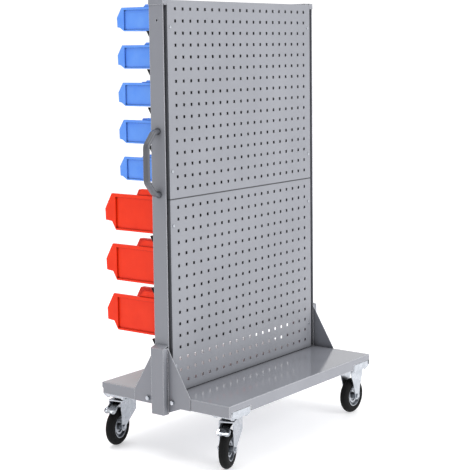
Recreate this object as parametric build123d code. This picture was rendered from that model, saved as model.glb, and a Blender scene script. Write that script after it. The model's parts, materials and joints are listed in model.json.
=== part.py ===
from build123d import *
import os
from math import cos, radians, sin

# Mobile double-sided perforated-panel stand.  Millimetres, +Z up.
# Origin: on the floor, under the middle of the base deck.  The panels face -Y, the bins face +Y.

# ---- driving dimensions -------------------------------------------------------------------------
DECK_LENGTH = 838.0          # along X
DECK_DEPTH = 537.0           # along Y
DECK_TOP = 210.0             # height of the deck above the floor
DECK_SHEET = 2.0
SKIRT_HEIGHT = 38.0

UPRIGHT_WIDTH = 40.0         # along X
UPRIGHT_FRONT = -26.5        # the open side of the channel, behind the panels
UPRIGHT_REAR = 31.0
UPRIGHT_TOP = 1474.0
UPRIGHT_SHEET = 2.0
UPRIGHT_LIP = 14.0           # inner front lip that the panels are screwed to

CAP_SHEET = 1.5
CAP_SKIRT = 18.0
CAP_RELIEF_RADIUS = 2.5

PANEL_WIDTH = 800.0
PANEL_HEIGHT = 629.5
PANEL_SHEET = 1.5
PANEL_FLANGE = 13.5
PANEL_SEAM = 1.0
PANEL_FOOT_GAP = 1.5         # between the deck and the lower panel
HOLE_PITCH = 38.0
HOLE_SIDE = 10.0
HOLE_COLUMNS = 20
HOLE_ROWS = 16
HOLE_BOTTOM_MARGIN = 32.0    # panel's lower edge to the middle of its lowest hole row
PANEL_SCREW_X = 386.0
PANEL_SCREW_INSET = 57.0     # from the outermost hole rows

BRACKET_SHEET = 2.0
HAT_DEPTH = 25.5             # how far the hat stands out of the deck's end
HAT_WIDTH = 51.5
HAT_TOP = 364.0
HAT_BOTTOM = 147.0
WING_FRONT = -113.5
WING_REAR = 123.5
WING_SHOULDER = 212.0        # height where the slanted edge turns vertical
WING_BOTTOM = 171.0
BRACKET_BOLT_Y = (-41.0, 62.5)
BRACKET_BOLT_Z = 188.0

HANDLE_TOP = 1060.0
HANDLE_BOTTOM = 858.0
HANDLE_REACH = 57.0          # from the upright to the middle of the grip
HANDLE_Y = 2.5
GRIP_WIDTH = 23.0
GRIP_THICKNESS = 15.0

RAIL_SHEET = 1.5
RAIL_LEDGE = 14.5
BIN_REAR = 41.0              # the bins' rear wall, along Y
BIN_SIDE_START = -378.0      # the first bin's side, along X
BIN_CLEARANCE = 0.5          # under each bin, above its ledge

SMALL_BIN = dict(width=102.0, pitch=103.4, count=7, length=163.0, height=76.0, floor=132.9,
                 chin_in=(150.0, 11.0), chin_out=(161.5, 13.0), lip=44.0, shoulder=142.6,
                 lug_foot=52.0, lug_edge=43.0, lug_height=84.0, rim=8.0, foot=4.0, wall=1.8, inset=5.0)
LARGE_BIN = dict(width=145.5, pitch=147.0, count=5, length=233.5, height=121.5, floor=187.3,
                 chin_in=(204.0, 28.5), chin_out=(231.5, 31.5), lip=69.0, shoulder=203.8,
                 lug_foot=94.0, lug_edge=75.0, lug_height=142.0, rim=11.0, foot=6.0, wall=2.2, inset=6.0)
SMALL_ROW_TOP = 1377.0       # the top row of small bins stands at this height
SMALL_ROW_PITCH = 121.0
SMALL_ROWS = 5
LARGE_ROW_TOP = 723.0
LARGE_ROW_PITCH = 168.5
LARGE_ROWS = 3
RAIL_DROP = 24.0             # height of a rail's triangular ledge
RAIL_APRON = 69.0            # how far a rail's back plate reaches below its bins
HOOK_DROP = 6.0              # how far a bin's hook reaches behind the rail's gutter lip

WHEEL_RADIUS = 62.5
TYRE_WIDTH = 31.0
RIM_RADIUS = 38.0
RIM_WIDTH = 27.0
HUB_RADIUS = 11.0
BEARING_RADIUS = 7.5
AXLE_RADIUS = 4.0
RUNNING_GAP = 0.05
FORK_GAP = 44.0              # between the legs of a fork
FORK_SHEET = 3.0
LEG_END_RADIUS = 13.0        # round end of a fork leg, about the axle
LEG_FRONT = 45.0             # a swivel fork's front edge, ahead of its pivot
LEG_KNEE = 106.0             # height where that edge turns back to the axle
FIXED_LEG = ((41.0, 0.0), (33.0, 30.0), (20.0, 65.0))  # half widths of a fixed fork's leg, and depths below its plate
CASTER_HEIGHT = 167.0
CASTER_TRAIL = 37.0
PLATE_LENGTH = 95.0
PLATE_WIDTH = 86.0
PLATE_SHEET = 4.0
PLATE_HOLES = (72.0, 66.0)   # bolt spacing along X and Y
BOLT_RADIUS = 4.0
BRACKET_LIP = 20.5           # height of the mount bracket's front and rear lips
FRONT_CASTER_Y = -223.0
REAR_CASTER_Y = 223.0
LEFT_FRONT_CASTER_X = -352.0
LEFT_REAR_CASTER_X = -368.0
RIGHT_CASTER_X = 369.0
FRONT_SWIVEL_ANGLE = 20.0    # where the swivel casters stand, turned about Z
REAR_SWIVEL_ANGLE = 11.0
PEDAL_WIDTH = 40.0

DECK_END = DECK_LENGTH / 2
DECK_EDGE = DECK_DEPTH / 2
DECK_UNDERSIDE = DECK_TOP - DECK_SHEET
SKIRT_BOTTOM = DECK_TOP - SKIRT_HEIGHT
UPRIGHT_INNER = DECK_END - UPRIGHT_WIDTH
PANEL_FACE = UPRIGHT_FRONT - PANEL_SHEET
LOWER_PANEL_Z = DECK_TOP + PANEL_FOOT_GAP
UPPER_PANEL_Z = LOWER_PANEL_Z + PANEL_HEIGHT + PANEL_SEAM
CASTERS = (
    ("left_front", LEFT_FRONT_CASTER_X, FRONT_CASTER_Y, FRONT_SWIVEL_ANGLE, True),
    ("left_rear", LEFT_REAR_CASTER_X, REAR_CASTER_Y, REAR_SWIVEL_ANGLE, True),
    ("right_front", RIGHT_CASTER_X, FRONT_CASTER_Y, 0.0, False),
    ("right_rear", RIGHT_CASTER_X, REAR_CASTER_Y, 0.0, False),
)


# ---- helpers ------------------------------------------------------------------------------------
def block(x, y, z):
    """A box from three (low, high) ranges."""
    size = [high - low for low, high in (x, y, z)]
    middle = [(low + high) / 2 for low, high in (x, y, z)]
    return Pos(*middle) * Box(*size)


def rod(radius, start, direction, length):
    """A cylinder that starts at a point and runs along X, Y or Z."""
    return Plane(origin=start, z_dir=direction) * Cylinder(
        radius, length, align=(Align.CENTER, Align.CENTER, Align.MIN)
    )


def hexagon(across_flats, start, direction, length):
    """A hexagonal prism for a bolt head or a nut."""
    face = RegularPolygon(across_flats / 2, 6, major_radius=False)
    return extrude(Plane(origin=start, z_dir=direction) * face, amount=length)


def prism_x(points, low, high):
    """A (y, z) outline carried along X from low to high."""
    outline = Polygon(*points, align=None)
    plane = Plane(origin=(low, 0, 0), x_dir=(0, 1, 0), z_dir=(1, 0, 0))
    return extrude(plane * outline, amount=high - low, dir=(1, 0, 0))


def prism_y(outline, low, high):
    """An (x, z) sketch carried along Y from low to high."""
    plane = Plane(origin=(0, low, 0), x_dir=(1, 0, 0), z_dir=(0, -1, 0))
    return extrude(plane * outline, amount=high - low, dir=(0, 1, 0))


def mirrored(shape):
    """The same piece at the other end of the stand."""
    return mirror(shape, about=Plane.YZ)


def save(node, *shapes):
    """One STEP file for a node; several shapes stay separate solids."""
    solids = [solid for shape in shapes for solid in shape.solids()]
    whole = solids[0] if len(solids) == 1 else Compound(children=solids)
    whole.label = node
    export_step(whole, f"parts/{node}.step")


# ---- base deck ----------------------------------------------------------------------------------
def notch(x, y):
    """The gap in a long skirt that leaves room for a caster's mount bracket."""
    side = 1 if y > 0 else -1
    edge = sorted((side * (DECK_EDGE - 2 * DECK_SHEET), side * (DECK_EDGE + 1)))
    span = (x - PLATE_LENGTH / 2 - 8, min(x + PLATE_LENGTH / 2 + 2, DECK_END - DECK_SHEET))
    return block(span, edge, (SKIRT_BOTTOM - 1, CASTER_HEIGHT + BRACKET_LIP + 2.5))


def base_deck():
    """Folded tray, open underneath, with a notch over each caster."""
    outer = block((-DECK_END, DECK_END), (-DECK_EDGE, DECK_EDGE), (SKIRT_BOTTOM, DECK_TOP))
    inner_x = DECK_END - DECK_SHEET
    inner_y = DECK_EDGE - DECK_SHEET
    inner = block((-inner_x, inner_x), (-inner_y, inner_y), (SKIRT_BOTTOM - 1, DECK_UNDERSIDE))
    top_edges = outer.edges().filter_by(Axis.Z, reverse=True).group_by(Axis.Z)[-1]
    deck = fillet(top_edges, 1.5) - inner
    for _, x, y, _, _ in CASTERS:
        deck -= notch(x, y)
    for side in (-1, 1):
        for y in BRACKET_BOLT_Y:
            start = (side * (DECK_END + 1), y, BRACKET_BOLT_Z)
            deck -= rod(BOLT_RADIUS + 0.1, start, (-side, 0, 0), DECK_SHEET + 2)
    return deck


# ---- uprights, caps and cross rails -------------------------------------------------------------
def left_upright():
    """Channel that is open to the front, with an inner lip for the panel screws."""
    x = (-DECK_END, -UPRIGHT_INNER)
    z = (DECK_TOP, UPRIGHT_TOP)
    t = UPRIGHT_SHEET
    post = block(x, (UPRIGHT_FRONT, UPRIGHT_REAR), z)
    post -= block((x[0] + t, x[1] - t), (UPRIGHT_FRONT + t, UPRIGHT_REAR - t), (z[0] - 1, z[1] + 1))
    mouth = (x[0] + t, x[1] - UPRIGHT_LIP)
    post -= block(mouth, (UPRIGHT_FRONT - 1, UPRIGHT_FRONT + 2 * t), (z[0] - 1, z[1] + 1))
    for height in panel_screw_heights():
        post -= rod(2.6, (-PANEL_SCREW_X, UPRIGHT_FRONT - 1, height), (0, 1, 0), 4)
    for height in rail_screw_heights():
        post -= rod(2.6, (-PANEL_SCREW_X, UPRIGHT_REAR + 1, height), (0, -1, 0), 4)
    for height in (HANDLE_TOP, HANDLE_BOTTOM):
        post -= rod(3.1, (-DECK_END - 1, HANDLE_Y, height), (1, 0, 0), 4)
    return post - rod(4.0, (-DECK_END - 1, 0, UPRIGHT_TOP - 66), (1, 0, 0), 4)


def left_upright_cap():
    """Folded cap with an end skirt, a rear skirt and a narrow front lip beside the panel."""
    t = CAP_SHEET
    x = (-DECK_END - t, -UPRIGHT_INNER)
    y = (UPRIGHT_FRONT - t, UPRIGHT_REAR + t)
    skirt = (UPRIGHT_TOP - CAP_SKIRT, UPRIGHT_TOP)
    cap = block(x, y, (UPRIGHT_TOP, UPRIGHT_TOP + t))
    cap += block((x[0], -DECK_END), y, skirt)
    cap += block(x, (UPRIGHT_REAR, y[1]), skirt)
    cap += block((x[0], -PANEL_WIDTH / 2 - 1.5), (y[0], UPRIGHT_FRONT), skirt)
    cap -= block((-PANEL_WIDTH / 2 - 1.5, 0), (y[0] - 1, UPRIGHT_FRONT), (UPRIGHT_TOP - 1, UPRIGHT_TOP + 9))
    relief = (x[0] + 3.0, y[0] - 1, skirt[0] + 1.5)
    return cap - rod(CAP_RELIEF_RADIUS, relief, (0, 1, 0), t + 1)


def cross_rail(z_low, z_high):
    """Channel between the uprights, open to the rear."""
    y = (UPRIGHT_FRONT + PANEL_FLANGE + 1.5, UPRIGHT_REAR - 8)
    x = (-UPRIGHT_INNER, UPRIGHT_INNER)
    rail = block(x, y, (z_low, z_high))
    return rail - block(x, (y[0] + 2, y[1] + 1), (z_low + 2, z_high - 2))


# ---- perforated panels --------------------------------------------------------------------------
def hole_row_heights(panel_z):
    """Heights of the lowest and highest hole rows of a panel."""
    lowest = panel_z + HOLE_BOTTOM_MARGIN
    return lowest, lowest + HOLE_PITCH * (HOLE_ROWS - 1)


def panel_screw_heights():
    """The two screw levels of each panel."""
    levels = []
    for panel_z in (LOWER_PANEL_Z, UPPER_PANEL_Z):
        lowest, highest = hole_row_heights(panel_z)
        levels += [lowest + PANEL_SCREW_INSET, highest - PANEL_SCREW_INSET]
    return levels


def front_panel(panel_z):
    """Sheet with a grid of square holes and four folded flanges."""
    lowest, highest = hole_row_heights(panel_z)
    sheet = Pos(0, panel_z + PANEL_HEIGHT / 2) * Rectangle(PANEL_WIDTH, PANEL_HEIGHT)
    grid = GridLocations(HOLE_PITCH, HOLE_PITCH, HOLE_COLUMNS, HOLE_ROWS)
    middle = Pos(0, (lowest + highest) / 2)
    sheet -= [middle * place * Rectangle(HOLE_SIDE, HOLE_SIDE) for place in grid]
    sheet -= [
        Pos(side * PANEL_SCREW_X, height) * Circle(2.6)
        for side in (-1, 1)
        for height in (lowest + PANEL_SCREW_INSET, highest - PANEL_SCREW_INSET)
    ]
    face = Plane(origin=(0, PANEL_FACE, 0), x_dir=(1, 0, 0), z_dir=(0, -1, 0))
    panel = extrude(face * sheet, amount=-PANEL_SHEET)
    t = PANEL_SHEET
    y = (UPRIGHT_FRONT, UPRIGHT_FRONT + PANEL_FLANGE)
    z = (panel_z, panel_z + PANEL_HEIGHT)
    edge = PANEL_WIDTH / 2
    inner = UPRIGHT_INNER - 2
    for side in (-1, 1):
        panel += block(sorted((side * edge, side * (edge - t))), y, z)
    panel += block((-inner, inner), y, (z[0], z[0] + t))
    panel += block((-inner, inner), y, (z[1] - t, z[1]))
    return panel


def panel_screws():
    """Domed panel screws into the uprights' lips."""
    screws = []
    for side in (-1, 1):
        for height in panel_screw_heights():
            x = side * PANEL_SCREW_X
            head = rod(5.0, (x, PANEL_FACE, height), (0, -1, 0), 2.6)
            rim = head.edges().filter_by(GeomType.CIRCLE).sort_by(Axis.Y)[0]
            screws.append(fillet(rim, 1.8) + rod(2.5, (x, PANEL_FACE, height), (0, 1, 0), 9))
    return screws


# ---- foot brackets ------------------------------------------------------------------------------
def left_foot_bracket():
    """Hat section with a sloping top and two triangular wings, bolted to the deck's end skirt."""
    t = BRACKET_SHEET
    middle = (UPRIGHT_FRONT + UPRIGHT_REAR) / 2
    low_y = middle - HAT_WIDTH / 2
    high_y = middle + HAT_WIDTH / 2
    back = -DECK_END
    face = -DECK_END - HAT_DEPTH
    wing_x = (back - t, back)
    front_wing = [(low_y + t, HAT_TOP), (low_y, HAT_TOP), (WING_FRONT, WING_SHOULDER)]
    front_wing += [(WING_FRONT, WING_BOTTOM), (low_y - 50, WING_BOTTOM), (low_y + t, HAT_BOTTOM + 4)]
    rear_wing = [(high_y - t, HAT_TOP), (high_y, HAT_TOP), (WING_REAR, WING_SHOULDER - 6)]
    rear_wing += [(WING_REAR, WING_BOTTOM), (high_y - t, WING_BOTTOM)]
    bracket = prism_x(front_wing, *wing_x) + prism_x(rear_wing, *wing_x)
    bracket += block((face, face + t), (low_y, high_y), (HAT_BOTTOM, HAT_TOP))
    for wall in ((low_y, low_y + t), (high_y - t, high_y)):
        bracket += block((face, back), wall, (HAT_BOTTOM, HAT_TOP))
    lid = Polygon((face, HAT_TOP - t), (back, HAT_TOP + 6), (back, HAT_TOP + 8), (face, HAT_TOP), align=None)
    bracket += prism_y(lid, low_y, high_y)
    for y in BRACKET_BOLT_Y:
        bracket -= rod(BOLT_RADIUS + 0.1, (back - t - 1, y, BRACKET_BOLT_Z), (1, 0, 0), t + 2)
    return bracket


def foot_bracket_bolts():
    """M8 bolts through wing and skirt, heads outside."""
    bolts = []
    for side in (-1, 1):
        for y in BRACKET_BOLT_Y:
            start = (side * (DECK_END + BRACKET_SHEET), y, BRACKET_BOLT_Z)
            washer = rod(8.0, start, (side, 0, 0), 1.6)
            head_start = (start[0] + side * 1.6, y, BRACKET_BOLT_Z)
            head = hexagon(13.0, head_start, (side, 0, 0), 5.3)
            bolts.append(washer + head + rod(BOLT_RADIUS, start, (-side, 0, 0), 16))
    return bolts


def foot_bracket_nuts():
    """Nuts behind the end skirts."""
    nuts = []
    for side in (-1, 1):
        for y in BRACKET_BOLT_Y:
            start = (side * (DECK_END - DECK_SHEET), y, BRACKET_BOLT_Z)
            nut = hexagon(13.0, start, (-side, 0, 0), 6.5)
            nuts.append(nut - rod(BOLT_RADIUS, start, (-side, 0, 0), 7))
    return nuts


# ---- handle -------------------------------------------------------------------------------------
def handle():
    """Bow handle: a rounded bar swept along a path with two slanted legs."""
    foot = -DECK_END
    grip = -DECK_END - HANDLE_REACH
    knee = -DECK_END - 22
    path = FilletPolyline(
        (foot, HANDLE_Y, HANDLE_TOP),
        (knee, HANDLE_Y, HANDLE_TOP - 3),
        (grip, HANDLE_Y, HANDLE_TOP - 44),
        (grip, HANDLE_Y, HANDLE_BOTTOM + 44),
        (knee, HANDLE_Y, HANDLE_BOTTOM + 3),
        (foot, HANDLE_Y, HANDLE_BOTTOM),
        radius=24,
    )
    section = Plane(origin=path @ 0, x_dir=(0, 1, 0), z_dir=path % 0)
    bow = sweep(section * RectangleRounded(GRIP_WIDTH, GRIP_THICKNESS, 7), path=path)
    for height in (HANDLE_TOP, HANDLE_BOTTOM):
        bow += rod(11.0, (foot, HANDLE_Y, height), (-1, 0, 0), 4)
    bow &= block((grip - 50, foot), (-50, 50), (HANDLE_BOTTOM - 50, HANDLE_TOP + 50))
    for height in (HANDLE_TOP, HANDLE_BOTTOM):
        bow -= rod(3.0, (foot + 1, HANDLE_Y, height), (-1, 0, 0), 15)
    return bow


def handle_screws():
    """M6 screws from inside the upright."""
    start_x = -DECK_END + UPRIGHT_SHEET
    screws = []
    for height in (HANDLE_TOP, HANDLE_BOTTOM):
        head = rod(5.5, (start_x, HANDLE_Y, height), (1, 0, 0), 4)
        screws.append(head + rod(3.0, (start_x, HANDLE_Y, height), (-1, 0, 0), 15))
    return screws


# ---- bin rails and bins -------------------------------------------------------------------------
def small_row_heights():
    """Heights of the small bins' floors, from the top row down."""
    return [SMALL_ROW_TOP - SMALL_ROW_PITCH * row for row in range(SMALL_ROWS)]


def large_row_heights():
    """Heights of the large bins' floors, from the top row down."""
    return [LARGE_ROW_TOP - LARGE_ROW_PITCH * row for row in range(LARGE_ROWS)]


def rail_heights():
    """The ledge height of every rail."""
    return small_row_heights() + large_row_heights()


def rail_screw_heights():
    """One screw level in the middle of every rail's ledge."""
    return [height - BIN_CLEARANCE - RAIL_DROP / 2 for height in rail_heights()]


def hook_height(kind, floor):
    """Underside of a bin's rear hook."""
    return floor + kind["height"] - 12


def bin_rail(kind, floor):
    """Folded rail: a triangular ledge under the bins, a gutter for their hooks and a deep back plate."""
    t = RAIL_SHEET
    back = UPRIGHT_REAR
    top = floor - BIN_CLEARANCE
    run = UPRIGHT_INNER + UPRIGHT_WIDTH - 2
    rail = prism_x([(back, top), (back + RAIL_LEDGE, top), (back, top - RAIL_DROP)], -run, run)
    hollow = [(back + t, top - t), (back + RAIL_LEDGE - 2.4 * t, top - t), (back + t, top - RAIL_DROP + 3.6 * t)]
    rail -= prism_x(hollow, -run - 1, run + 1)
    inner = UPRIGHT_INNER - 1
    lip_top = hook_height(kind, floor) - 0.5
    web = lip_top - 2 * HOOK_DROP
    rail += block((-inner, inner), (back, back + t), (floor - RAIL_APRON, web + t))
    rail += block((-inner, inner), (back, back + 7.5), (web, web + t))
    rail += block((-inner, inner), (back + 6, back + 7.5), (web, lip_top))
    for side in (-1, 1):
        rail -= rod(2.5, (side * PANEL_SCREW_X, back - 1, top - RAIL_DROP / 2), (0, 1, 0), t + 2)
    return rail


def rail_screws():
    """Screws from inside the uprights into the rails."""
    screws = []
    for side in (-1, 1):
        for height in rail_screw_heights():
            start = (side * PANEL_SCREW_X, UPRIGHT_REAR - UPRIGHT_SHEET, height)
            screws.append(rod(4.5, start, (0, -1, 0), 2.5) + rod(2.45, start, (0, 1, 0), 5))
    return screws


def storage_bin(kind, side_x, floor):
    """Open-fronted bin: walls set back behind a proud rim, nose and foot, a raised rear shoulder, a rear hook."""

    def place(points):
        return [(BIN_REAR + u, floor + h) for u, h in points]

    height, length, wall, inset = kind["height"], kind["length"], kind["wall"], kind["inset"]
    lip, rim, foot, shoulder = kind["lip"], kind["rim"], kind["foot"], kind["shoulder"]
    chin_in, chin_out = kind["chin_in"], kind["chin_out"]
    outline = [(0, 0), (kind["floor"], 0), chin_in, chin_out, (length, lip), (shoulder, height)]
    outline += [(kind["lug_foot"], height), (kind["lug_edge"], kind["lug_height"]), (0, kind["lug_height"])]
    side = (side_x, side_x + kind["width"])
    body = prism_x(place(outline), side[0] + inset, side[1] - inset)
    recess = [(-1, foot), (kind["floor"], foot), (kind["floor"], height - rim), (-1, height - rim)]
    frame = [(length, lip), (shoulder, height), (0, height), (0, 0), (kind["floor"], 0), chin_in, chin_out]
    band = prism_x(place(frame), *side) - prism_x(place(recess), side[0] - 1, side[1] + 1)
    cavity = [(wall, wall), (kind["floor"] - wall / 2, wall), (chin_in[0] - wall / 2, chin_in[1] + wall)]
    cavity += [(chin_out[0] - wall, chin_out[1] + wall), (length - wall, lip), (length + 20, lip)]
    cavity += [(length + 20, kind["lug_height"] + 20), (wall, kind["lug_height"] + 20)]
    hollow = (side[0] + inset + wall, side[1] - inset - wall)
    whole = body + band - prism_x(place(cavity), *hollow)
    under = hook_height(kind, floor)
    hook_x = (side[0] + 12, side[1] - 12)
    whole += block(hook_x, (BIN_REAR - 6.7, BIN_REAR), (under, under + wall))
    whole += block(hook_x, (BIN_REAR - 6.7, BIN_REAR - 5), (under - HOOK_DROP, under))
    return whole


def bin_row(kind, floor):
    """All the bins of one row, side by side."""
    first = storage_bin(kind, BIN_SIDE_START, floor)
    return [Pos(kind["pitch"] * index, 0, 0) * first for index in range(kind["count"])]


# ---- casters ------------------------------------------------------------------------------------
def standing(shape, x, y, angle):
    """Moves a caster piece from its own frame (pivot at the origin) to its place."""
    return Pos(x, y, 0) * Rot(0, 0, angle) * shape


def plate_bolt_places():
    """The four bolt holes of a caster plate."""
    return [(sx * PLATE_HOLES[0] / 2, sy * PLATE_HOLES[1] / 2) for sx in (-1, 1) for sy in (-1, 1)]


def top_plate():
    """Caster plate with four bolt holes."""
    half_x = PLATE_LENGTH / 2
    half_y = PLATE_WIDTH / 2
    plate = block((-half_x, half_x), (-half_y, half_y), (CASTER_HEIGHT - PLATE_SHEET, CASTER_HEIGHT))
    plate = fillet(plate.edges().filter_by(Axis.Z), 6)
    for x, y in plate_bolt_places():
        plate -= rod(BOLT_RADIUS + 0.1, (x, y, CASTER_HEIGHT - PLATE_SHEET - 1), (0, 0, 1), PLATE_SHEET + 2)
    return plate


def mount_bracket(x, y):
    """Zinc bracket between the deck and a caster: base, two lips and two tall end flanges."""
    half_x = PLATE_LENGTH / 2
    half_y = PLATE_WIDTH / 2
    low = CASTER_HEIGHT
    base = block((-half_x, half_x), (-half_y, half_y), (low, low + 3))
    for side in (-1, 1):
        lip = sorted((side * half_y, side * (half_y - 2)))
        base += block((-half_x, half_x), lip, (low, low + BRACKET_LIP))
        flange = sorted((side * half_x, side * (half_x - 3)))
        base += block(flange, (-half_y, half_y), (low, DECK_UNDERSIDE))
    for hole_x, hole_y in plate_bolt_places():
        base -= rod(BOLT_RADIUS + 0.1, (hole_x, hole_y, low - 1), (0, 0, 1), 5)
    return Pos(x, y, 0) * base


def caster_bolts():
    """Bolts up through every caster plate and bracket."""
    start = CASTER_HEIGHT - PLATE_SHEET
    bolt = hexagon(13.0, (0, 0, start), (0, 0, -1), 5.3) + rod(BOLT_RADIUS, (0, 0, start), (0, 0, 1), 16)
    return [Pos(x + hx, y + hy, 0) * bolt for _, x, y, _, _ in CASTERS for hx, hy in plate_bolt_places()]


def caster_nuts():
    """Nuts inside the mount brackets."""
    start = (0, 0, CASTER_HEIGHT + 3)
    nut = hexagon(13.0, start, (0, 0, 1), 6.5) - rod(BOLT_RADIUS, start, (0, 0, 1), 7)
    return [Pos(x + hx, y + hy, 0) * nut for _, x, y, _, _ in CASTERS for hx, hy in plate_bolt_places()]


def fork_leg(points, trail, side):
    """One pressed leg with a round end at the axle."""
    outline = Polygon(*points, align=None) + Pos(trail, WHEEL_RADIUS) * Circle(LEG_END_RADIUS)
    outline -= Pos(trail, WHEEL_RADIUS) * Circle(AXLE_RADIUS + 0.05)
    inner = side * FORK_GAP / 2
    return prism_y(outline, *sorted((inner, inner + side * FORK_SHEET)))


def swivel_fork():
    """Pressed fork of a swivel caster: crown, ball-race cup and two broad raked legs."""
    crown_top = CASTER_HEIGHT - PLATE_SHEET - 9
    half_y = FORK_GAP / 2 + FORK_SHEET
    back = -CASTER_TRAIL - LEG_END_RADIUS
    nose = -CASTER_TRAIL + LEG_END_RADIUS
    fork = block((back, LEG_FRONT), (-half_y, half_y), (crown_top - 4, crown_top))
    fork += rod(29, (0, 0, crown_top), (0, 0, 1), 3.5)
    leg = [(back, WHEEL_RADIUS), (back, crown_top), (LEG_FRONT, crown_top), (LEG_FRONT, LEG_KNEE), (nose, WHEEL_RADIUS)]
    for side in (-1, 1):
        fork += fork_leg(leg, -CASTER_TRAIL, side)
    return fork - rod(6.1, (0, 0, crown_top - 5), (0, 0, 1), 20)


def swivel_race():
    """Upper ball race, fixed under the top plate."""
    top = CASTER_HEIGHT - PLATE_SHEET
    race = rod(26, (0, 0, top), (0, 0, -1), 5.2)
    return race - rod(6.1, (0, 0, top + 1), (0, 0, -1), 8)


def kingpin():
    """Rivet that holds the fork to the plate; it stays with the plate."""
    top = CASTER_HEIGHT - PLATE_SHEET
    low = top - 9 - 4
    return rod(6.0, (0, 0, top), (0, 0, -1), 13.3) + rod(9.0, (0, 0, low - 0.3), (0, 0, -1), 3)


def fixed_fork():
    """Plate and legs of a fixed caster, pressed from one sheet."""
    top = CASTER_HEIGHT - PLATE_SHEET
    right = [(half, top - depth) for half, depth in FIXED_LEG] + [(LEG_END_RADIUS, WHEEL_RADIUS)]
    leg = [(-x, z) for x, z in reversed(right)] + right
    fork = top_plate()
    for side in (-1, 1):
        fork += fork_leg(leg, 0, side)
    return fork


def axle_bolt(trail):
    """Axle bolt with its head on the front side of the fork."""
    half = FORK_GAP / 2 + FORK_SHEET
    head = hexagon(13.0, (trail, -half, WHEEL_RADIUS), (0, -1, 0), 5.0)
    return head + rod(AXLE_RADIUS, (trail, -half, WHEEL_RADIUS), (0, 1, 0), 2 * half + 9)


def axle_nut(trail):
    """Axle nut on the rear side of the fork."""
    half = FORK_GAP / 2 + FORK_SHEET
    start = (trail, half, WHEEL_RADIUS)
    return hexagon(13.0, start, (0, 1, 0), 7.0) - rod(AXLE_RADIUS, start, (0, 1, 0), 8)


def turned(points, trail):
    """A (radius, y) outline turned about the wheel's axle."""
    outline = Polygon(*points, align=None)
    ring = revolve(Plane.XY * outline, Axis.Y, 360)
    return Pos(trail, 0, WHEEL_RADIUS) * ring


def wheel_rim(trail):
    """Pressed steel rim: hub tube, dished web with a raised ring, and drum."""
    hub = FORK_GAP / 2 - 0.4
    half = RIM_WIDTH / 2
    drum = RIM_RADIUS - 2.5
    web = [(HUB_RADIUS, -4), (18, -4), (20, -8), (26, -8), (28, -4), (drum, -4)]
    front = [(BEARING_RADIUS, -hub), (HUB_RADIUS, -hub)] + web + [(drum, -half), (RIM_RADIUS, -half)]
    back = [(RIM_RADIUS, half), (drum, half)] + [(radius, y + 3) for radius, y in reversed(web)]
    back += [(HUB_RADIUS, hub), (BEARING_RADIUS, hub)]
    return turned(front + back, trail)


def tyre(trail):
    """Solid rubber tyre with a rounded tread and shoulders."""
    half = TYRE_WIDTH / 2
    shoulder = WHEEL_RADIUS - half
    side = [(RIM_RADIUS, half - 2.5), (RIM_RADIUS + 3, half), (shoulder, half)]
    turns = [radians(step) for step in range(10, 91, 10)]
    upper = side + [(shoulder + half * sin(turn), half * cos(turn)) for turn in turns]
    lower = [(radius, -y) for radius, y in reversed(upper[:-1])]
    return turned(upper + lower, trail)


def wheel_bearing(trail):
    """Bearing bush pressed into the hub, running on the axle."""
    half = FORK_GAP / 2 - 0.6
    inner = AXLE_RADIUS + RUNNING_GAP
    points = [(inner, -half), (BEARING_RADIUS, -half), (BEARING_RADIUS, half), (inner, half)]
    return turned(points, trail)


def brake_pedal():
    """Lever between the legs that points backwards over the wheel."""
    half = PEDAL_WIDTH / 2
    top = CASTER_HEIGHT - PLATE_SHEET - 16
    outline = [(-26, top), (-26, top - 2.5), (-60, top - 16), (-84, top - 26), (-97, top - 27)]
    outline += [(-97, top - 24.5), (-85, top - 23.5), (-60, top - 13)]
    lever = prism_y(Polygon(*outline, align=None), -half, half)
    cheek = [(-26, top), (-34, top - 12), (-72, top - 24), (-84, top - 26), (-60, top - 13)]
    for side in (-1, 1):
        lever += prism_y(Polygon(*cheek, align=None), *sorted((side * half, side * (half - 2))))
    return lever + rod(4.5, (-28, -half, top - 3), (0, 1, 0), PEDAL_WIDTH)


# ---- the whole stand ----------------------------------------------------------------------------
def save_frame():
    """Deck, uprights, panels, brackets, handle and their fasteners."""
    save("base_deck", base_deck())
    upright = left_upright()
    save("left_upright", upright)
    save("right_upright", mirrored(upright))
    cap = left_upright_cap()
    save("left_upright_cap", cap)
    save("right_upright_cap", mirrored(cap))
    bracket = left_foot_bracket()
    save("left_foot_bracket", bracket)
    save("right_foot_bracket", mirrored(bracket))
    save("foot_bracket_bolts", *foot_bracket_bolts())
    save("foot_bracket_nuts", *foot_bracket_nuts())
    save("upper_front_panel", front_panel(UPPER_PANEL_Z))
    save("lower_front_panel", front_panel(LOWER_PANEL_Z))
    save("panel_screws", *panel_screws())
    save("top_cross_rail", cross_rail(UPRIGHT_TOP - 38, UPRIGHT_TOP - 8))
    save("bottom_cross_rail", cross_rail(DECK_TOP, DECK_TOP + 24))
    save("handle", handle())
    save("handle_screws", *handle_screws())


def save_bins():
    """Rails and bin rows on the rear side."""
    save("small_bin_rails", *[bin_rail(SMALL_BIN, floor) for floor in small_row_heights()])
    save("large_bin_rails", *[bin_rail(LARGE_BIN, floor) for floor in large_row_heights()])
    for number, floor in enumerate(small_row_heights(), start=1):
        save(f"small_bin_row_{number}", *bin_row(SMALL_BIN, floor))
    for number, floor in enumerate(large_row_heights(), start=1):
        save(f"large_bin_row_{number}", *bin_row(LARGE_BIN, floor))
    save("rail_screws", *rail_screws())


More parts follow.
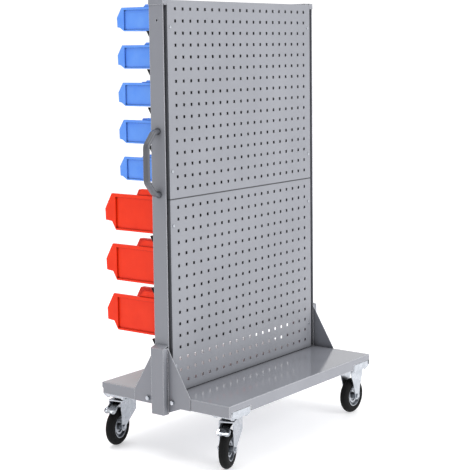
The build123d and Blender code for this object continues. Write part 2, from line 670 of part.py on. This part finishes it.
def save_casters():
    """Two swivel casters with brakes on the left, two fixed casters on the right."""
    save("caster_mount_brackets", *[mount_bracket(x, y) for _, x, y, _, _ in CASTERS])
    save("caster_bolts", *caster_bolts())
    save("caster_nuts", *caster_nuts())
    swivel_places = [(x, y) for _, x, y, _, swivels in CASTERS if swivels]
    fixed_places = [(x, y) for _, x, y, _, swivels in CASTERS if not swivels]
    save("swivel_kingpins", *[standing(kingpin(), x, y, 0) for x, y in swivel_places])
    save("fixed_axle_bolts", *[standing(axle_bolt(0), x, y, 0) for x, y in fixed_places])
    save("fixed_axle_nuts", *[standing(axle_nut(0), x, y, 0) for x, y in fixed_places])
    for name, x, y, angle, swivels in CASTERS:
        trail = -CASTER_TRAIL if swivels else 0.0
        if swivels:
            save(f"{name}_caster_plate", standing(top_plate(), x, y, 0))
            save(f"{name}_swivel_race", standing(swivel_race(), x, y, 0))
            save(f"{name}_fork", standing(swivel_fork(), x, y, angle))
            save(f"{name}_brake_pedal", standing(brake_pedal(), x, y, angle))
            save(f"{name}_axle_bolt", standing(axle_bolt(trail), x, y, angle))
            save(f"{name}_axle_nut", standing(axle_nut(trail), x, y, angle))
        else:
            save(f"{name}_fork", standing(fixed_fork(), x, y, angle))
        save(f"{name}_rim", standing(wheel_rim(trail), x, y, angle))
        save(f"{name}_tyre", standing(tyre(trail), x, y, angle))
        save(f"{name}_wheel_bearing", standing(wheel_bearing(trail), x, y, angle))


os.makedirs("parts", exist_ok=True)
save_frame()
save_bins()
save_casters()
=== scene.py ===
"""Looks for a mobile stand with perforated panels on one face and hung storage bins on the other."""
import json
from math import pi, radians

import bpy
import numpy as np
from bpy.props import FloatProperty, FloatVectorProperty, PointerProperty
from mathutils import Matrix, Vector


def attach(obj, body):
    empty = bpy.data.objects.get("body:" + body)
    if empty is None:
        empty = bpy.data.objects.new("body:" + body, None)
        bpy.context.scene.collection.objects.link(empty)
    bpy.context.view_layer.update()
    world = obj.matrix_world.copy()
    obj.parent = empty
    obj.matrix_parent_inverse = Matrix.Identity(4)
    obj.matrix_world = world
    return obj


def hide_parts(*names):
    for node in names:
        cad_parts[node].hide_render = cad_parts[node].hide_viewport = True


bl_info = {
    "name": "Mobile Panel Stand",
    "version": (1, 0, 0),
    "blender": (4, 5, 0),
    "location": "View3D > Sidebar > Stand",
    "description": "Finishes and detail pieces for a wheeled stand with panels and bins",
    "category": "Add Mesh",
}

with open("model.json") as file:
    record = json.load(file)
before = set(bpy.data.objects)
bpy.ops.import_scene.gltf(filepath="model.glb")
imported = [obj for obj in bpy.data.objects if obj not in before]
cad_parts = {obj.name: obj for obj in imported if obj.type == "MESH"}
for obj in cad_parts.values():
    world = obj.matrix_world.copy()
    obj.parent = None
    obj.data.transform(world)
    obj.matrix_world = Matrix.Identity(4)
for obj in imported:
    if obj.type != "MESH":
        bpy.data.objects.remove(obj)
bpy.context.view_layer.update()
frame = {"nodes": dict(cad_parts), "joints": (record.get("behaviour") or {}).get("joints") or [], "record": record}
MM = 0.001
PANEL_SEAMS_MM = (841.5, 210.0)  # heights of the seam between the panels and of the lower panel's foot


# ---- colours ------------------------------------------------------------------------------------
def linear(hex_colour):
    """An sRGB hex colour as a linear (r, g, b, 1)."""
    parts = [int(hex_colour[at:at + 2], 16) / 255 for at in (1, 3, 5)]
    scaled = [part / 12.92 if part <= 0.04045 else ((part + 0.055) / 1.055) ** 2.4 for part in parts]
    return (*scaled, 1.0)


def colour_property(name, description, hex_colour):
    """A colour that a user may change."""
    return FloatVectorProperty(name=name, description=description, subtype="COLOR", size=4, min=0.0, max=1.0,
                               default=linear(hex_colour))


def roughness_property(name, description, default):
    """A roughness that a user may change."""
    return FloatProperty(name=name, description=description, default=default, min=0.0, max=1.0,
                         subtype="FACTOR")


# ---- node and material tools --------------------------------------------------------------------
def add(tree, kind, settings=(), **links):
    """Adds a node. settings holds attributes and input values; links names inputs, with _ for a space."""
    node = tree.nodes.new(kind)
    for name, value in dict(settings).items():
        if hasattr(node, name):
            setattr(node, name, value)
        else:
            node.inputs[name].default_value = value
    for name, source in links.items():
        tree.links.new(source, node.inputs[name.replace("_", " ")])
    return node


def ramp(tree, factor, low, high, start=0.3, end=0.7):
    """A factor spread between two grey values or colours."""
    limits = {"From Min": start, "From Max": end, "To Min": low, "To Max": high}
    return add(tree, "ShaderNodeMapRange", limits, Value=factor).outputs["Result"]


def noise(tree, coords, size_mm, detail=3.0, roughness=0.55):
    """Noise whose features are about size_mm across."""
    shape = {"Scale": 1000.0 / size_mm, "Detail": detail, "Roughness": roughness}
    return add(tree, "ShaderNodeTexNoise", shape, Vector=coords).outputs["Fac"]


def mixed(tree, factor, first, second):
    """One colour fading into another."""
    node = add(tree, "ShaderNodeMix", {"data_type": "RGBA"})
    node.inputs["A"].default_value = first
    node.inputs["B"].default_value = second
    tree.links.new(factor, node.inputs["Factor"])
    return next(out for out in node.outputs if out.type == "RGBA")


def start_material(name):
    """An empty material with a Principled shader and Object coordinates."""
    material = bpy.data.materials.new(name)
    material.use_nodes = True
    tree = material.node_tree
    tree.nodes.clear()
    shader = add(tree, "ShaderNodeBsdfPrincipled")
    output = add(tree, "ShaderNodeOutputMaterial")
    tree.links.new(shader.outputs["BSDF"], output.inputs["Surface"])
    coords = add(tree, "ShaderNodeTexCoord").outputs["Object"]
    return material, tree, shader, coords


def set_surface(tree, shader, colour=None, roughness=None, normal=None):
    """Links a colour, a roughness and a normal to the shader."""
    for socket, source in (("Base Color", colour), ("Roughness", roughness), ("Normal", normal)):
        if source is not None:
            tree.links.new(source, shader.inputs[socket])


def softened(tree, edge_mm):
    """The normal with edges rounded to edge_mm, and how strongly each point lies on such an edge."""
    soft = add(tree, "ShaderNodeBevel", {"samples": 4, "Radius": edge_mm * MM}).outputs["Normal"]
    flat = add(tree, "ShaderNodeNewGeometry").outputs["Normal"]
    match = add(tree, "ShaderNodeVectorMath", {"operation": "DOT_PRODUCT"}, Vector=soft)
    tree.links.new(flat, match.inputs[1])
    return soft, ramp(tree, match.outputs["Value"], 1.0, 0.0, 0.8, 0.99)


def bumped(tree, height, depth_mm, strength, soft):
    """A fine relief over softened edges."""
    relief = {"Strength": strength, "Distance": depth_mm * MM}
    return add(tree, "ShaderNodeBump", relief, Height=height, Normal=soft).outputs["Normal"]


def faded(tree, factor, first, second):
    """One linked colour fading into a fixed one."""
    node = add(tree, "ShaderNodeMix", {"data_type": "RGBA"})
    node.inputs["B"].default_value = second
    tree.links.new(factor, node.inputs["Factor"])
    base = next(socket for socket in node.inputs if socket.type == "RGBA" and socket.name == "A")
    tree.links.new(first, base)
    return next(out for out in node.outputs if out.type == "RGBA")


def painted_occlusion_shade(tree, colour, reach_mm, depth):
    """The colour with painted shade: darkened by ambient occlusion in corners, seams and channels."""
    corner = add(tree, "ShaderNodeAmbientOcclusion", {"samples": 6, "Distance": reach_mm * MM})
    shade = ramp(tree, corner.outputs["AO"], depth, 1.0, 0.25, 0.8)
    scaled = add(tree, "ShaderNodeVectorMath", {"operation": "SCALE"}, Vector=colour, Scale=shade)
    return scaled.outputs["Vector"]


def painted_seam_shadow(tree, coords, colour, seam_mm, dirt):
    """The colour, darkened by a painted shadow in a line up to 3 mm to each side of a level seam."""
    height = add(tree, "ShaderNodeSeparateXYZ", Vector=coords).outputs["Z"]
    off = add(tree, "ShaderNodeMath", {"operation": "SUBTRACT"})
    off.inputs[1].default_value = seam_mm * MM
    tree.links.new(height, off.inputs[0])
    gap = add(tree, "ShaderNodeMath", {"operation": "ABSOLUTE"}, Value=off.outputs["Value"]).outputs["Value"]
    return faded(tree, ramp(tree, gap, 0.9, 0.0, 1.2 * MM, 3.0 * MM), colour, dirt)


def powder_coat(name, colour, shade, gloss, edge_mm, edge_highlight=None, dirt=None):
    """Polyester powder coat baked on sheet steel: an even satin film with a fine orange-peel relief.

    Orange peel is about 1.5 mm across; it is drawn at 3 mm, as fine as it can be and still show. Folded edges
    carry a painted highlight in a pale colour, and a painted shade from ambient occlusion darkens corners and
    channels. Given a shadow colour, a painted shadow lines the panels' seams.
    """
    material, tree, shader, coords = start_material(name)
    broad = noise(tree, coords, 260.0, 2.0)
    peel = noise(tree, coords, 3.0, 1.0)
    rough = ramp(tree, noise(tree, coords, 90.0), gloss - 0.03, gloss + 0.03)
    soft, edge = softened(tree, edge_mm)
    # painted shade: ambient occlusion darkens the coat in corners, seams and channels
    tint = painted_occlusion_shade(tree, mixed(tree, ramp(tree, broad, 0.0, 1.0), colour, shade), 30.0, 0.14)
    # painted highlight: folded edges are lightened towards a pale colour
    if edge_highlight is not None:
        tint = faded(tree, ramp(tree, edge, 0.0, 0.9, 0.0, 0.8), tint, edge_highlight)
    # painted shadow: a dark line along the panels' seam and the lower panel's foot
    if dirt is not None:
        for seam_mm in PANEL_SEAMS_MM:
            tint = painted_seam_shadow(tree, coords, tint, seam_mm, dirt)
    set_surface(tree, shader, tint, rough, bumped(tree, peel, 0.012, 0.3, soft))
    shader.inputs["IOR"].default_value = 1.5
    return material


def zinc_plate(name, colour, shade, low, high, edge_mm):
    """Bright zinc plate on pressed steel: a pale metal with cloudy patches and faint draw lines."""
    material, tree, shader, coords = start_material(name)
    cloud = noise(tree, coords, 22.0, 4.0, 0.6)
    stretched = add(tree, "ShaderNodeMapping", {"Scale": (1.0, 1.0, 9.0)}, Vector=coords)
    lines = noise(tree, stretched.outputs["Vector"], 7.0, 3.0)
    tint = mixed(tree, ramp(tree, cloud, 0.0, 1.0), colour, shade)
    soft = softened(tree, edge_mm)[0]
    # painted shade: ambient occlusion darkens the zinc in corners and recesses
    set_surface(tree, shader, painted_occlusion_shade(tree, tint, 14.0, 0.2), ramp(tree, cloud, low, high),
                bumped(tree, lines, 0.02, 0.15, soft))
    shader.inputs["Metallic"].default_value = 1.0
    return material


def moulded_plastic(name, colour, shade, gloss, edge_mm):
    """Injection-moulded polypropylene: coloured through, semi-gloss, with faint flow marks and soft edges."""
    material, tree, shader, coords = start_material(name)
    flow = noise(tree, coords, 60.0, 3.0)
    grain = noise(tree, coords, 3.0, 2.0)
    tint = mixed(tree, ramp(tree, flow, 0.0, 1.0), colour, shade)
    soft = softened(tree, edge_mm)[0]
    rough = ramp(tree, flow, gloss - 0.04, gloss + 0.06)
    # painted shade: ambient occlusion darkens the plastic under rims and in recesses
    set_surface(tree, shader, painted_occlusion_shade(tree, tint, 8.0, 0.12), rough, bumped(tree, grain, 0.03, 0.2, soft))
    shader.inputs["IOR"].default_value = 1.49
    shader.inputs["Specular IOR Level"].default_value = 0.3
    return material


def tyre_rubber(name, colour, shade):
    """Solid rubber: black, matt, with dusty scuffs and a fine pebbled skin."""
    material, tree, shader, coords = start_material(name)
    dust = noise(tree, coords, 18.0, 5.0, 0.65)
    pebble = noise(tree, coords, 1.6, 2.0)
    set_surface(tree, shader, mixed(tree, ramp(tree, dust, 0.0, 1.0, 0.42, 0.72), colour, shade),
                ramp(tree, dust, 0.7, 0.9), bumped(tree, pebble, 0.08, 0.35, softened(tree, 0.6)[0]))
    shader.inputs["IOR"].default_value = 1.52
    shader.inputs["Specular IOR Level"].default_value = 0.22
    return material


def paint_nodes(names, material):
    """Gives CAD nodes a material in place of their plain one."""
    for name in names:
        mesh_object = frame["nodes"][name]
        if not mesh_object.material_slots:
            mesh_object.data.materials.append(material)
        for slot in mesh_object.material_slots:
            slot.material = material


def slot_nodes(slot):
    """The CAD nodes that the record gives one material slot."""
    return [entry["node"] for entry in frame["record"]["subparts"] if entry["material_slot"] == slot]


# ---- mesh tools ---------------------------------------------------------------------------------
def grid_faces(rows, columns, wrap_rows=False, wrap_columns=False):
    """Quads over a rows by columns grid, joined round where asked."""
    row_count = rows if wrap_rows else rows - 1
    column_count = columns if wrap_columns else columns - 1
    row, column = np.meshgrid(np.arange(row_count), np.arange(column_count), indexing="ij")
    below = (row + 1) % rows
    beside = (column + 1) % columns
    quads = np.stack([row * columns + column, below * columns + column, below * columns + beside,
                      row * columns + beside], axis=-1)
    return quads.reshape(-1, 4)


def mesh_piece(name, points, faces, material, body):
    """A smooth mesh object made from arrays, riding on a body."""
    mesh = bpy.data.meshes.new(name)
    mesh.from_pydata(points.reshape(-1, 3).tolist(), [], faces.tolist())
    mesh.polygons.foreach_set("use_smooth", np.full(len(mesh.polygons), True))
    mesh.materials.append(material)
    mesh.update()
    piece = bpy.data.objects.new(name, mesh)
    bpy.context.scene.collection.objects.link(piece)
    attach(piece, body)
    return piece


# ---- settings -----------------------------------------------------------------------------------
class StandFinishes(bpy.types.PropertyGroup):
    """Colours and glosses of the stand's finishes."""

    coat: colour_property("Coat", "Silver-grey powder coat on the frame", "#94969d")
    coat_shade: colour_property("Coat shade", "Darker drift in the powder coat", "#8d8f96")
    frame: colour_property("Frame", "A darker batch of the coat, on uprights and brackets", "#8d8f97")
    # painted highlight: a pale colour laid along folded edges, where they would catch the light
    edge: colour_property("Bright edge", "Thin coat over folded edges", "#e6e8ee")
    # painted shadow: the dark colour laid along the panels' seams
    dirt: colour_property("Seam dirt", "Dirt in the panels' seams", "#2c2e33")
    blue: colour_property("Blue bins", "Small bins' plastic", "#6fa7ff")
    blue_shade: colour_property("Blue shade", "Darker drift in the small bins' plastic", "#5f9bfe")
    red: colour_property("Red bins", "Large bins' plastic", "#ff3603")
    red_shade: colour_property("Red shade", "Darker drift in the large bins' plastic", "#f83002")
    zinc: colour_property("Zinc", "Bright zinc plate", "#c8ccd2")
    zinc_shade: colour_property("Zinc shade", "Cloudy patches in the zinc", "#b1b6bd")
    handle: colour_property("Handle", "Handle's coat", "#5c5e64")
    # black coat of the bin rails, which also serves as painted shade seen through the panels' holes
    black: colour_property("Rail black", "Black coat on the bin rails", "#0c0c0d")
    rubber: colour_property("Rubber", "Tyres", "#0b0b0c")
    rubber_dust: colour_property("Dust", "Dust on the tyres", "#151516")
    bearing: colour_property("Bearing", "Wheel bushes", "#242528")
    coat_gloss: roughness_property("Coat roughness", "Roughness of the frame's coat", 0.42)
    deck_gloss: roughness_property("Deck roughness", "Roughness of the deck's coat", 0.12)


class StandStudio(bpy.types.PropertyGroup):
    """Sizes of the studio."""

    floor_colour: colour_property("Floor", "Pale floor", "#f7f7f8")
    floor_shade: colour_property("Floor shade", "Drift in the floor", "#f4f4f5")
    floor_glow: FloatProperty(name="Floor glow", description="Light from under the white floor", default=0.42)
    floor_size: FloatProperty(name="Floor", description="Side of the floor", default=40.0, unit="LENGTH")
    bright_wall: FloatProperty(name="Bright wall", description="Light from the pale side", default=1.12)
    dim_wall: FloatProperty(name="Dim wall", description="Light from the shaded side", default=0.44)
    lens: FloatProperty(name="Lens", description="Camera's focal length", default=97.18, unit="CAMERA")


# ---- operators ----------------------------------------------------------------------------------
class STAND_OT_coated_sheet(bpy.types.Operator):
    """Powder coat on the deck, uprights, caps, brackets, cross rails and panels"""

    bl_idname = "stand.coated_sheet"
    bl_label = "Coated Sheet"

    def execute(self, context):
        tone = context.scene.stand_finishes
        shade, gloss, edge = tone.coat_shade, tone.coat_gloss, tone.edge
        panel_gloss = gloss - 0.04
        # the frame, panel and deck coats carry the painted edge highlight
        frame_coat = powder_coat("frame_powder_coat", tone.frame, shade, gloss, 3.0, edge)
        panel_coat = powder_coat("panel_powder_coat", tone.coat, shade, panel_gloss, 0.6, edge, tone.dirt)
        deck_coat = powder_coat("deck_powder_coat", tone.coat, shade, tone.deck_gloss, 4.0, edge)
        handle_coat = powder_coat("handle_powder_coat", tone.handle, tone.handle, 0.26, 1.0)
        # the rails' black: partly their own coat, partly painted shade behind the panels' holes
        rail_coat = powder_coat("rail_black_coat", tone.black, tone.black, 0.45, 0.8)
        paint_nodes(slot_nodes("frame_paint"), frame_coat)
        paint_nodes(slot_nodes("panel_paint"), panel_coat)
        paint_nodes(slot_nodes("deck_paint"), deck_coat)
        paint_nodes(slot_nodes("handle_paint"), handle_coat)
        paint_nodes(slot_nodes("black_paint"), rail_coat)
        return {"FINISHED"}


class STAND_OT_bins(bpy.types.Operator):
    """Moulded plastic on the blue and red bins"""

    bl_idname = "stand.bins"
    bl_label = "Bins"

    def execute(self, context):
        tone = context.scene.stand_finishes
        blue = moulded_plastic("blue_polypropylene", tone.blue, tone.blue_shade, 0.42, 0.9)
        red = moulded_plastic("red_polypropylene", tone.red, tone.red_shade, 0.42, 1.1)
        paint_nodes(slot_nodes("blue_plastic"), blue)
        paint_nodes(slot_nodes("red_plastic"), red)
        return {"FINISHED"}


class STAND_OT_zinc(bpy.types.Operator):
    """Zinc plate on casters, brackets and fasteners"""

    bl_idname = "stand.zinc"
    bl_label = "Zinc Plate"

    def execute(self, context):
        tone = context.scene.stand_finishes
        plate = zinc_plate("zinc_plate", tone.zinc, tone.zinc_shade, 0.22, 0.38, 0.5)
        rim_plate = zinc_plate("rim_zinc_plate", tone.zinc, tone.zinc_shade, 0.26, 0.42, 0.6)
        paint_nodes(slot_nodes("zinc_plate"), plate)
        paint_nodes(slot_nodes("rim_zinc"), rim_plate)
        return {"FINISHED"}


class STAND_OT_wheels(bpy.types.Operator):
    """Rubber on the tyres and dark plastic in the wheel bushes"""

    bl_idname = "stand.wheels"
    bl_label = "Wheels"

    def execute(self, context):
        tone = context.scene.stand_finishes
        rubber = tyre_rubber("tyre_rubber", tone.rubber, tone.rubber_dust)
        paint_nodes(slot_nodes("tyre"), rubber)
        for joint in frame["joints"]:
            if joint["name"].endswith("_wheel_roll"):
                self.make_tyre(joint, rubber)
        nylon = moulded_plastic("bush_nylon", tone.bearing, tone.bearing, 0.45, 0.4)
        paint_nodes(slot_nodes("bearing_plastic"), nylon)
        return {"FINISHED"}

    def make_tyre(self, joint, rubber):
        """A ring swept about the axle.

        Over the tread, turn runs from 0 to pi and ring is the half width less the groove there:
        radius = outer - half + ring sin(turn) and offset = ring cos(turn). Two grooves run round the tread,
        and the side walls carry a raised ring.
        """
        name = joint["name"].replace("_wheel_roll", "")
        inner, half, outer = 38.0, 15.5, 62.5
        groove_depth, groove_place, groove_width = 0.9, 5.5, 0.8
        turn = np.linspace(0.0, np.pi, 41)
        away = (np.abs(half * np.cos(turn)) - groove_place) / groove_width
        ring = half - groove_depth * np.exp(-away ** 2)
        tread = np.stack([outer - half + ring * np.sin(turn), ring * np.cos(turn)], axis=-1)
        wall = np.array([(inner, half - 2.5), (inner + 0.6, half - 1.0), (inner + 2.0, half - 0.6),
                         (inner + 3.4, half - 0.9), (inner + 4.2, half - 1.7), (inner + 6.4, half - 1.5),
                         (inner + 7.0, half - 0.3)])
        section = np.concatenate([wall, tread, (wall * (1, -1))[::-1]])
        around = np.linspace(0.0, 2 * np.pi, 97)[:-1]
        axle = np.array(joint["axis"])
        up = np.array((0.0, 0.0, 1.0))
        ahead = np.cross(up, axle)
        spokes = np.cos(around)[:, None] * ahead + np.sin(around)[:, None] * up
        points = spokes[:, None, :] * section[None, :, :1] + axle * section[None, :, 1:]
        points = points * MM + np.array(joint["pos_m"])
        inward = grid_faces(len(around), len(section), wrap_rows=True, wrap_columns=True)
        faces = inward[:, ::-1]
        tyre = mesh_piece(name + "_rubber_tyre", points, faces, rubber, joint["child"])
        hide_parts(name + "_tyre")


class STAND_OT_pedals(bpy.types.Operator):
    """Pressed brake pedals of the swivel casters"""

    bl_idname = "stand.pedals"
    bl_label = "Brake Pedals"

    def execute(self, context):
        tone = context.scene.stand_finishes
        plate = zinc_plate("pedal_zinc_plate", tone.zinc, tone.zinc_shade, 0.2, 0.34, 0.5)
        for joint in frame["joints"]:
            if joint["name"].endswith("_pedal_press"):
                self.make_pedal(joint, plate)
        return {"FINISHED"}

    def make_pedal(self, joint, plate):
        """A pressed trough over length s from 0 to 1 and width t from -1 to 1.

        Height falls with s to the power 0.85. Past |t| = 0.78 the sheet turns up as a flange, as high as
        sin(pi (0.8 s + 0.06)) to the power 0.6, growing from nothing at s = 0 to clear the fork. Past
        s = 0.72 the sheet widens, and past s = 0.86 the lip curls down and waves by cos(2 pi t).
        """
        name = joint["name"].replace("_pedal_press", "")
        start, length, half_width, flare_width = 2.0, 59.4, 19.0, 5.0
        start_height, fall, flange_height, sheet_mm = 2.4, 24.0, 9.0, 2.2
        s, t = np.meshgrid(np.linspace(0.0, 1.0, 41), np.linspace(-1.0, 1.0, 49), indexing="ij")
        side = np.clip((np.abs(t) - 0.78) / 0.22, 0.0, 1.0)
        flare = np.clip((s - 0.72) / 0.14, 0.0, 1.0)
        lip = np.clip((s - 0.86) / 0.14, 0.0, 1.0)
        along = start - length * s
        growth = np.clip(s / 0.3, 0.0, 1.0)
        flange = flange_height * growth * np.sin(np.pi * (0.8 * s + 0.06)) ** 0.6 * side
        curl = 4.5 * lip ** 1.5 - 1.4 * lip * np.cos(2 * np.pi * t)
        rise = start_height - fall * s ** 0.85 + flange - curl
        across = t * (half_width + flare_width * flare)
        axle = np.array(joint["axis"])
        up = np.array((0.0, 0.0, 1.0))
        ahead = np.cross(axle, up)
        points = along[..., None] * ahead + across[..., None] * axle + rise[..., None] * up
        points = points * MM + np.array(joint["pos_m"])
        faces = grid_faces(*s.shape)
        pedal = mesh_piece(name + "_pressed_pedal", points, faces, plate, joint["child"])
        sheet = pedal.modifiers.new("sheet", "SOLIDIFY")
        sheet.thickness = sheet_mm * MM
        sheet.offset = -1.0
        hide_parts(name + "_brake_pedal")


class STAND_OT_stage(bpy.types.Operator):
    """Pale floor, soft studio light and the camera"""

    bl_idname = "stand.stage"
    bl_label = "Stage"

    def execute(self, context):
        studio = context.scene.stand_studio
        self.make_floor(studio)
        self.make_room(context, studio)
        self.make_lamp("key_softbox", (0.6, -4.2, 2.6), (0.0, 0.0, 0.7), 2.8, 105.0)
        self.make_lamp("top_softbox", (-1.2, 0.6, 4.2), (0.0, 0.0, 0.4), 2.0, 48.0)
        self.make_camera(context, studio)
        return {"FINISHED"}

    def make_floor(self, studio):
        """A flat square grid at height zero, matt and pale."""
        half = studio.floor_size / 2
        count = 9
        line = np.linspace(-half, half, count)
        x, y = np.meshgrid(line, line, indexing="ij")
        points = np.stack([x, y, np.zeros_like(x)], axis=-1).reshape(-1, 3)
        material, tree, shader, coords = start_material("studio_floor")
        drift = ramp(tree, noise(tree, coords, 900.0), 0.0, 1.0)
        tint = mixed(tree, drift, studio.floor_colour, studio.floor_shade)
        set_surface(tree, shader, tint)
        shader.inputs["Roughness"].default_value = 0.6
        shader.inputs["Emission Color"].default_value = studio.floor_colour
        shader.inputs["Emission Strength"].default_value = studio.floor_glow
        mesh = bpy.data.meshes.new("studio_floor")
        mesh.from_pydata(points.tolist(), [], grid_faces(count, count).tolist())
        mesh.materials.append(material)
        floor = bpy.data.objects.new("studio_floor", mesh)
        bpy.context.scene.collection.objects.link(floor)

    def make_room(self, context, studio):
        """White room light, bright from behind the bins and dim from in front of the handle."""
        world = bpy.data.worlds.new("studio_room")
        world.use_nodes = True
        tree = world.node_tree
        background = tree.nodes["Background"]
        background.inputs["Color"].default_value = (1.0, 1.0, 1.0, 1.0)
        outward = add(tree, "ShaderNodeTexCoord").outputs["Generated"]
        facing = add(tree, "ShaderNodeVectorMath", {"operation": "DOT_PRODUCT"}, Vector=outward)
        facing.inputs[1].default_value = (0.79, 0.6, 0.1)  # towards the bright wall
        level = ramp(tree, facing.outputs["Value"], studio.dim_wall, studio.bright_wall, -0.35, 0.6)
        tree.links.new(level, background.inputs["Strength"])
        context.scene.world = world

    def make_lamp(self, name, place, target, size, power):
        """A square softbox turned towards a point."""
        lamp = bpy.data.lights.new(name, "AREA")
        lamp.shape = "SQUARE"
        lamp.size = size
        lamp.energy = power
        holder = bpy.data.objects.new(name, lamp)
        holder.location = place
        holder.rotation_euler = (Vector(target) - Vector(place)).to_track_quat("-Z", "Y").to_euler()
        bpy.context.scene.collection.objects.link(holder)

    def make_camera(self, context, studio):
        """The camera stands off the handle end of the panels and looks past them, a little downwards."""
        data = bpy.data.cameras.new("studio_camera")
        data.lens = studio.lens
        data.sensor_width = 36.0
        data.shift_y = -0.1
        data.clip_end = 100.0
        camera = bpy.data.objects.new("studio_camera", data)
        heading, dip, roll = radians(37.126), radians(6.269), radians(-0.669)
        aim = Matrix.Rotation(heading - pi / 2, 4, "Z") @ Matrix.Rotation(pi / 2 - dip, 4, "X")
        place = Matrix.Translation((-3.46743, -2.60843, 1.31697))
        camera.matrix_world = place @ aim @ Matrix.Rotation(roll, 4, "Z")
        context.scene.collection.objects.link(camera)
        context.scene.camera = camera


class STAND_PT_panel(bpy.types.Panel):
    """Sidebar panel that lists the stand's pieces and settings"""

    bl_idname = "STAND_PT_panel"
    bl_label = "Mobile Panel Stand"
    bl_space_type = "VIEW_3D"
    bl_region_type = "UI"
    bl_category = "Stand"

    def draw(self, context):
        for operator in OPERATORS:
            self.layout.operator(operator.bl_idname)
        for group in (context.scene.stand_finishes, context.scene.stand_studio):
            for name in group.bl_rna.properties.keys():
                if name not in ("rna_type", "name"):
                    self.layout.prop(group, name)


OPERATORS = (STAND_OT_coated_sheet, STAND_OT_bins, STAND_OT_zinc, STAND_OT_wheels, STAND_OT_pedals,
             STAND_OT_stage)
CLASSES = (StandFinishes, StandStudio, *OPERATORS, STAND_PT_panel)


def register():
    """Adds the classes and the two groups of settings."""
    for cls in CLASSES:
        bpy.utils.register_class(cls)
    bpy.types.Scene.stand_finishes = PointerProperty(type=StandFinishes)
    bpy.types.Scene.stand_studio = PointerProperty(type=StandStudio)


def unregister():
    """Takes them away again."""
    del bpy.types.Scene.stand_studio
    del bpy.types.Scene.stand_finishes
    for cls in reversed(CLASSES):
        bpy.utils.unregister_class(cls)


def main():
    """Runs every operator in order."""
    register()
    bpy.context.scene.view_settings.view_transform = "Standard"
    for operator in OPERATORS:
        family, action = operator.bl_idname.split(".")
        getattr(getattr(bpy.ops, family), action)()


if __name__ == "__main__":
    main()
